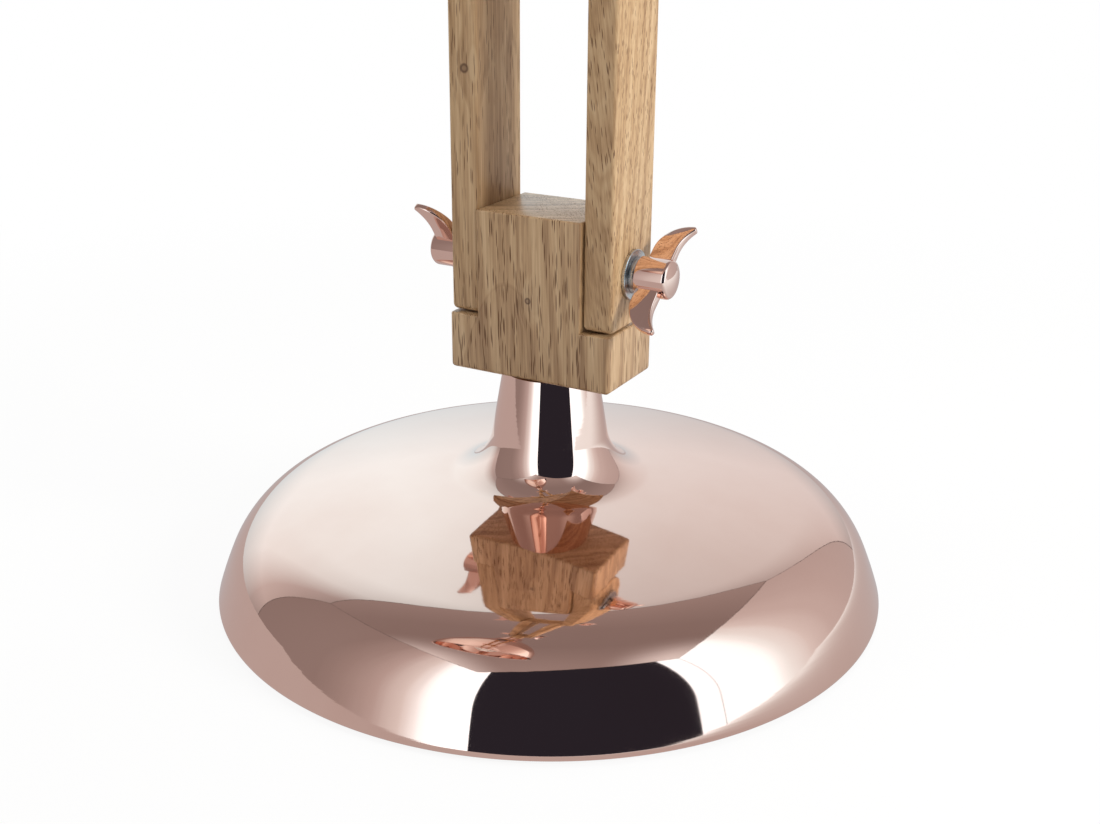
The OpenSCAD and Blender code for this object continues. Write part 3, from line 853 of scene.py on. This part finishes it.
def wing(turn):
    """One wing, upright on the Z axis with the hub's axis along X, then turned about X."""
    outer = wing_set + wing_root_w
    inner_rise = wing_span / 2 - wing_bend_r
    inner_run = wing_reach - wing_set - wing_tip_w
    run = wing_reach - outer
    rise = wing_span / 2 - wing_drop - wing_bend_r
    outer_r = (run * run + rise * rise) / (2 * run)
    inner_edge = arc((wing_set + inner_run, wing_bend_r), (inner_run, inner_rise), math.pi, math.pi / 2)
    outer_turn = math.asin(rise / outer_r)
    outer_edge = arc((outer + outer_r, wing_bend_r), (outer_r, outer_r), math.pi - outer_turn, math.pi)
    root = 0.5 * hub_r
    outline = [(wing_set, root)] + inner_edge + outer_edge + [(outer, root)]
    bm = bmesh.new()
    flat = bm.faces.new([bm.verts.new((along, -wing_root_t / 2, up)) for along, up in outline])
    raised = bmesh.ops.extrude_face_region(bm, geom=[flat])
    bmesh.ops.translate(
        bm, vec=(0, wing_root_t, 0), verts=[v for v in raised["geom"] if isinstance(v, bmesh.types.BMVert)]
    )
    for v in bm.verts:
        v.co.y *= 1 + (wing_tip_t / wing_root_t - 1) * v.co.z / (wing_span / 2)
    bmesh.ops.recalc_face_normals(bm, faces=bm.faces)
    ease(bm, sharp_edges(bm, math.radians(35)), wing_edge_r, 3)
    bmesh.ops.transform(bm, matrix=Matrix.Rotation(turn, 4, "X"), verts=bm.verts)
    return bm


def hub():
    crown_r = hub_r - hub_round
    dome_r = (crown_r ** 2 + hub_crown ** 2) / (2 * hub_crown)
    crown_turn = math.asin(crown_r / dome_r)
    crown_c = (0, hub_len + hub_crown - dome_r)
    crown = arc(crown_c, (dome_r, dome_r), math.pi / 2 - crown_turn, math.pi / 2)
    edge = arc((crown_r, hub_len - hub_round), (hub_round, hub_round), 0, math.pi / 2, 8)
    section = [(0, stud_hole_deep), (stud_hole_r, stud_hole_deep), (stud_hole_r, 0)]
    section += [(hub_r - hub_foot_r, 0), (hub_r, hub_foot_r)] + edge + crown[1:]
    bm = spun(bmesh.new(), section, 96, closed=False)
    bmesh.ops.transform(bm, matrix=quarter_turn, verts=bm.verts)
    return bm


def as_object(name, bm):
    bmesh.ops.recalc_face_normals(bm, faces=bm.faces)
    mesh = bpy.data.meshes.new(name)
    bm.to_mesh(mesh)
    bm.free()
    made = bpy.data.objects.new(name, mesh)
    scene.collection.objects.link(made)
    return made


def combined(body, tools, operation):
    """The mesh of an object joined with, or cut by, others; all the objects are then removed."""
    for tool in tools:
        step = body.modifiers.new("combine", "BOOLEAN")
        step.operation = operation
        step.solver = "EXACT"
        step.object = tool
    bpy.context.view_layer.update()
    mesh = bpy.data.meshes.new_from_object(body.evaluated_get(bpy.context.evaluated_depsgraph_get()))
    for used in [body, *tools]:
        bpy.data.objects.remove(used)
    return mesh


nut_wings = [as_object("wing_a", wing(0)), as_object("wing_b", wing(math.pi))]
nut_mesh = combined(as_object("hub", hub()), nut_wings, "UNION")
nut_turns = {
    "base": (lower_face, at_base, -38, 50), "elbow": (lower_face, at_elbow, -62, 24),
    "head": (upper_face, at_head_pivot, 35, -20),
}
for joint_name, (face, place, left_turn, right_turn) in nut_turns.items():
    for side, turn in ((-1, left_turn), (1, right_turn)):
        nut = bmesh.new()
        nut.from_mesh(nut_mesh)
        on_side = Matrix.Diagonal((side, 1, 1, 1))
        seat = Matrix.Translation((face + nut_seat, 0, 0)) @ Matrix.Rotation(math.radians(-turn), 4, "X")
        piece(f"{joint_name}_nut_{'left' if side < 0 else 'right'}", nut, nut_copper, place @ on_side @ seat)

# %% [markdown]
# ## The shade
#
# The shade is spun like the base and hangs from the tongue. A small hole at its back takes a moulded
# bush, so a cylinder is cut out of the finished skin.

# %% Shade and bush
shade_d = 146 * mm
shade_h = 112 * mm
shade_t = 1 * mm
shade_neck_r = 14 * mm
shade_neck_lean = math.radians(20)
shade_neck_h = 28 * mm
shade_flare_r = 30 * mm
bowl_slope = math.radians(42)
bowl_r = 45 * mm
mouth_wall_r = 150 * mm
mouth_top_lean = math.radians(14)
mouth_lean = math.radians(5)
bead_r = 1.4 * mm
nipple_hole_r = 5.05 * mm
bush_drop = 44 * mm
bush_r = 4.5 * mm
bush_bore_r = 3.2 * mm
bush_collar_r = 6.2 * mm
bush_collar_t = 1.6 * mm
bush_lift = 0.3 * mm
bush_len = 6 * mm
bush_foot_r = 0.3 * mm
bush_rim_r = 0.5 * mm
bush_mouth_r = 0.4 * mm
hole_reach = 4 * mm
shade_steps = 192
shade_line = bell(
    shade_neck_r, shade_neck_lean, shade_h, shade_flare_r, shade_h - shade_neck_h, bowl_slope, bowl_r,
    mouth_wall_r, mouth_top_lean, mouth_lean, Vector((shade_d / 2, 0)),
)
shade_foot = Matrix.Translation((0, 0, -tongue_len - shade_h))
bush_at, bush_slope = min(shade_line, key=lambda station: abs(shade_h - bush_drop - station[0].y))
bush_seat = Matrix.Translation((0, bush_at.x, bush_at.y)) @ Matrix.Rotation(-bush_slope, 4, "X")
shade_section = sheet_section(shade_line, shade_t, nipple_hole_r, bead_r, shade_t / 2)
shade_skin = spun(bmesh.new(), shade_section, shade_steps)
hole_section = [(0, -hole_reach), (bush_r, -hole_reach), (bush_r, hole_reach), (0, hole_reach)]
hole = spun(bmesh.new(), hole_section, 48, closed=False)
bmesh.ops.transform(hole, matrix=bush_seat, verts=hole.verts)
shade_mesh = combined(as_object("skin", shade_skin), [as_object("hole", hole)], "DIFFERENCE")
shade_bm = bmesh.new()
shade_bm.from_mesh(shade_mesh)
shade_copper = copper("shade_copper", turn=(shade_tilt, 0, 0), ripple=1.0)
piece("shade", shade_bm, shade_copper, at_head @ shade_foot)

collar_top = bush_lift + bush_collar_t
bush = spun(bmesh.new(), [
    (bush_bore_r, -bush_len), (bush_r, -bush_len), (bush_r, bush_lift),
    (bush_collar_r - bush_foot_r, bush_lift), (bush_collar_r, bush_lift + bush_foot_r),
    (bush_collar_r, collar_top - bush_rim_r), (bush_collar_r - bush_rim_r, collar_top),
    (bush_bore_r + bush_mouth_r, collar_top), (bush_bore_r, collar_top - bush_mouth_r),
], 64)
piece("cord_bush", bush, plastic, at_head @ shade_foot @ bush_seat)

# %% [markdown]
# ## Lampholder and bulb
#
# Inside the shade sits a moulded lampholder, a cap with a skirt below it, and a small opal globe is
# screwed into it. They are spun with eased edges, and the skirt has three shallow grip rings.

# %% Lampholder and bulb
cap_drop = 16 * mm
cap_r = 15.5 * mm
cap_h = 16 * mm
cap_wall = 1.6 * mm
cap_roof = 6.4 * mm
cap_round = 2.4 * mm
cap_lip = 0.4 * mm
holder_r = 14 * mm
holder_floor = 4 * mm
holder_round = 1.2 * mm
grip_first = 5 * mm
grip_step = 4 * mm
grip_half = 1 * mm
grip_deep = 0.6 * mm
contact_drop = 5.7 * mm
bulb_cap_r = 6.95 * mm
bulb_cap_h = 18 * mm
bulb_gap = 0.9 * mm
globe_r = 20 * mm
globe_drop = 27 * mm
glass_t = 0.8 * mm
neck_turn = math.radians(58)
cap_top = -tongue_len - cap_drop
cap_foot = cap_top - cap_h
bulb_cap_end = cap_foot - contact_drop - bulb_cap_h
skirt_bore_r = bulb_cap_r + bulb_gap
cap_edge = arc((cap_r - cap_round, cap_top - cap_round), (cap_round, cap_round), 0, math.pi / 2, 8)
cap = spun(bmesh.new(), [
    (nipple_hole_r, cap_top), *reversed(cap_edge), (cap_r, cap_foot + cap_lip), (cap_r - cap_lip, cap_foot),
    (cap_r - cap_wall, cap_foot), (cap_r - cap_wall, cap_top - cap_roof),
    (nipple_hole_r, cap_top - cap_roof),
], 96)
piece("holder_cap", cap, plastic, at_head)

grip = []
for i in range(3):
    middle = cap_foot - grip_first - grip_step * i
    grip += [(holder_r, middle + grip_half), (holder_r - grip_deep, middle), (holder_r, middle - grip_half)]
skirt = spun(bmesh.new(), [
    (0, cap_foot), (holder_r, cap_foot), *grip, (holder_r, bulb_cap_end + holder_round),
    (holder_r - holder_round, bulb_cap_end), (skirt_bore_r, bulb_cap_end),
    (skirt_bore_r, cap_foot - holder_floor), (0, cap_foot - holder_floor),
], 96, closed=False)
piece("holder_skirt", skirt, plastic, at_head)

globe_z = bulb_cap_end - globe_drop
inner_r = globe_r - glass_t
neck_top = globe_z + globe_r * math.sin(neck_turn)
globe_line = arc((0, globe_z), (globe_r, globe_r), -math.pi / 2, neck_turn, 40)
globe_line += [(bulb_cap_r + bulb_gap, (neck_top + bulb_cap_end) / 2), (bulb_cap_r, bulb_cap_end)]
globe_inside = arc((0, globe_z), (inner_r, inner_r), -math.pi / 2, neck_turn, 40)
globe_inside += [(bulb_cap_r - glass_t, bulb_cap_end)]
globe = spun(bmesh.new(), globe_line + globe_inside[::-1], 96, closed=False)
piece("bulb_globe", globe, opal, at_head)

# %% [markdown]
# ## The studio: a light tent
#
# The mirror shows the room, so the room has to be right. The lamp stands in a light tent: a white sheet
# behind, two walls and a roof of cloth, and a dark opening where the camera looks in. The tent is made of
# glowing cards that are only seen in reflections: their painted levels of light are a painted reflection
# in the copper, and the dark opening is a dark card. Lamps and a soft world light the wood. Thin dark rods,
# also only seen in reflections, run along the tent's corners.

# %% Tent
back_left = Vector((-0.694, 0.190, 0.666))
back_right = Vector((0.476, 0.434, 0.622))
front_left = Vector((-0.383, -0.747, 0.835))
front_right = Vector((0.613, -0.473, 0.785))
gap_left = front_left.lerp(front_right, 0.086)
gap_right = front_left.lerp(front_right, 0.879)
back_h = 0.65
rod_r = 2.2 * mm


def cloth_light(level):
    """The colour of a cloth's light: a little warm where it is dim and cool where it is bright."""
    red = max(1.2 - 0.33 * level, 0.8)
    green = 0.95 + 0.03 * level
    blue = 0.92 + 0.12 * level
    return (level * red, level * green, level * blue, 1)


def ramped(finish, along, stops):
    """A ramp over places in metres with levels of light."""
    first, last = stops[0][0], stops[-1][0]
    share = (along - first) / (last - first)
    return finish.ramp(share, [((at - first) / (last - first), cloth_light(level)) for at, level in stops])


def lit(finish, colour):
    finish.show(finish.node("Emission", {}, {"Color": colour, "Strength": 1.0}))
    return finish.material


def back_cloth_glow():
    finish = Finish("back_cloth_glow")
    x, y, z = finish.split(finish.place())
    # Painted light on the back sheet: brightest just left of its middle, and darker at its foot and its top.
    across = ramped(finish, x, [
        (-0.71, 0.50), (-0.56, 0.58), (-0.36, 1.12), (-0.12, 1.24), (0.13, 0.90), (0.38, 0.74), (0.5, 0.66),
    ])
    height = finish.ramp(z / back_h, [(0, grey(0.72)), (0.2, grey(1)), (0.4, grey(0.95)), (1, grey(0.68))])
    times = {"data_type": "RGBA", "blend_type": "MULTIPLY"}
    return lit(finish, finish.node("Mix", times, {0: 1.0, 6: across, 7: height}, 2))


def side_cloth_glow(name, stops):
    finish = Finish(name)
    x, y, z = finish.split(finish.place())
    # Painted light along each wall, bright at its front end and dim towards the back; the folds make the
    # change waver.
    folds = finish.noise(finish.turned(finish.place(), scale=(1, 1, 0.06)), 9, 3)
    return lit(finish, ramped(finish, y + 0.10 * (folds - 0.5), stops))


def roof_cloth_glow():
    finish = Finish("roof_cloth_glow")
    x, y, z = finish.split(finish.place())
    middle = ramped(finish, y, [(-0.67, 0.30), (-0.45, 0.27), (-0.2, 0.22), (0.05, 0.23), (0.45, 0.32)])
    # Painted light: the roof glows dim, with brighter bands along its sides towards the front.
    edges = finish.step((x * x) ** 0.5, 0.2, 0.55) * finish.step(y, -0.1, -0.5)
    return lit(finish, finish.mix(edges, middle, cloth_light(0.85)))


def even(name, colour):
    return lit(Finish(name), colour)


def only_mirrored(made, material):
    made.data.materials.append(material)
    made.rotation_euler.z = camera_turn
    made.visible_camera = False
    made.visible_diffuse = False
    made.visible_shadow = False


def card(name, corners, material):
    bm = bmesh.new()
    bm.faces.new([bm.verts.new(corner) for corner in corners])
    only_mirrored(as_object(name, bm), material)


def wall(name, first, last, material):
    card(name, [first, last, Vector((last.x, last.y, 0)), Vector((first.x, first.y, 0))], material)


def rod(name, first, last, material):
    run = last - first
    turn = run.to_track_quat("Z", "Y").to_matrix().to_4x4()
    bm = bmesh.new()
    bmesh.ops.create_cone(
        bm, segments=8, radius1=rod_r, radius2=rod_r, depth=run.length,
        matrix=Matrix.Translation((first + last) / 2) @ turn,
    )
    only_mirrored(as_object(name, bm), material)


left_look = side_cloth_glow("left_cloth_glow", [
    (-0.68, 1.75), (-0.60, 1.60), (-0.50, 0.85), (-0.40, 0.48), (-0.30, 0.33), (-0.18, 0.26), (0.22, 0.24),
])
right_look = side_cloth_glow("right_cloth_glow", [
    (-0.42, 1.75), (-0.22, 1.65), (-0.14, 1.25), (-0.05, 0.82), (0.08, 0.60), (0.22, 0.53), (0.45, 0.48),
])
# Glowing cards with painted bright light beside the opening, and a dark card that paints the dark opening.
bright_look = even("bright_cloth_glow", cloth_light(1.75))
dark_look = even("dark_room", (0.022, 0.022, 0.033, 1))
rod_look = even("tent_rod", (0.06, 0.055, 0.055, 1))
card("tent_roof", [back_left, back_right, front_right, front_left], roof_cloth_glow())
wall("tent_back", back_left, back_right, back_cloth_glow())
wall("tent_left", back_left, front_left, left_look)
wall("tent_right", back_right, front_right, right_look)
wall("tent_front_left", front_left, gap_left, bright_look)
wall("tent_front_right", gap_right, front_right, bright_look)
wall("dark_room", gap_left, gap_right, dark_look)
for name, first, last in (
    ("rod_back", back_left, back_right), ("rod_left", back_left, front_left),
    ("rod_right", back_right, front_right), ("rod_front", front_left, front_right),
):
    rod(name, first, last, rod_look)
for name, top in (("post_left", back_left), ("post_right", back_right), ("post_front", front_right)):
    rod(name, Vector((top.x, top.y, 0)), top, rod_look)

# %% [markdown]
# ## Floor, world and lamps
#
# The floor and the background are white to the camera, and the floor keeps a soft shadow. In reflections
# the floor glows instead, with painted light that is dim on the left and brighter to the right. Three wide
# lamps light the wood: the strongest stands at the right, as the bright right sides of the bars show.

# %% Floor, world and lamps
shadow_r = 0.28
floor_half = 4
fill_light = 0.32
lamp_aim = Vector((0, 0, 0.15))
floor_finish = Finish("pale_floor")
floor_path = floor_finish.node("LightPath", {}, {}).socket.node
from_camera = Wire(floor_finish, floor_path.outputs["Is Camera Ray"])
from_mirror = Wire(floor_finish, floor_path.outputs["Is Glossy Ray"])
cloudy = floor_finish.noise(floor_finish.place(), 3, 2)
paper = floor_finish.node(
    "BsdfDiffuse", {}, {"Color": floor_finish.mix(cloudy, (0.80, 0.79, 0.78, 1), (0.82, 0.81, 0.80, 1))}
)
glow = floor_finish.node("Emission", {}, {"Color": grey(1), "Strength": 1.0})
floor_place = floor_finish.turned(floor_finish.place(), turn=(0, 0, -camera_turn))
floor_x, floor_y, _ = floor_finish.split(floor_place)
# Painted light for the floor seen in reflections: a glow, dim on the left and brighter to the right.
painted_light_to_right = floor_finish.step(floor_x - 0.4 * floor_y, 0.05, 0.45)
floor_light = floor_finish.mix(painted_light_to_right, cloth_light(0.48), cloth_light(1.1))
dim = floor_finish.node("Emission", {}, {"Color": floor_light, "Strength": 1.0})
mirrored = floor_finish.node("MixShader", {}, {0: from_mirror, 1: paper, 2: dim})
floor_far = (floor_x ** 2 + floor_y ** 2) ** 0.5
shadowless = 0.9 + 0.1 * floor_finish.step(floor_far, shadow_r, 2 * shadow_r)
floor_finish.show(floor_finish.node("MixShader", {}, {0: from_camera * shadowless, 1: mirrored, 2: glow}))
floor_bm = bmesh.new()
bmesh.ops.create_grid(floor_bm, x_segments=1, y_segments=1, size=floor_half)
floor = as_object("floor", floor_bm)
floor.data.materials.append(floor_finish.material)

world = bpy.data.worlds.new("studio")
scene.world = world
world.use_nodes = True
air = Finish("studio", world.node_tree)
path = air.node("LightPath", {}, {}).socket.node
seen = Wire(air, path.outputs["Is Camera Ray"])
seen = seen + Wire(air, path.outputs["Is Glossy Ray"]) + Wire(air, path.outputs["Is Transmission Ray"])
seen = air.node("Math", {"operation": "MINIMUM"}, {0: seen, 1: 1.0})
fill = air.node("Background", {}, {"Color": grey(1), "Strength": fill_light})
white = air.node("Background", {}, {"Color": grey(1), "Strength": 1.0})
air.node("OutputWorld", {}, {"Surface": air.node("MixShader", {}, {0: seen, 1: fill, 2: white})})


def lamp(name, turn, rise, far, size, power):
    """A square lamp round the object: turn is to the right of the front, rise above the floor."""
    turn, rise = math.radians(turn), math.radians(rise)
    back = Vector((math.sin(turn) * math.cos(rise), -math.cos(turn) * math.cos(rise), math.sin(rise)))
    made = bpy.data.objects.new(name, bpy.data.lights.new(name, "AREA"))
    made.data.size = size
    made.data.energy = power
    made.location = lamp_aim + far * back
    made.rotation_mode = "QUATERNION"
    made.rotation_quaternion = back.to_track_quat("Z", "Y")
    made.visible_glossy = False
    scene.collection.objects.link(made)


lamp("right_lamp", 91, 22, 1.2, 0.45, 12.8)
lamp("left_lamp", -55, 35, 1.2, 0.8, 5)
lamp("top_lamp", 180, 70, 1.2, 0.9, 8)
print("studio ready")
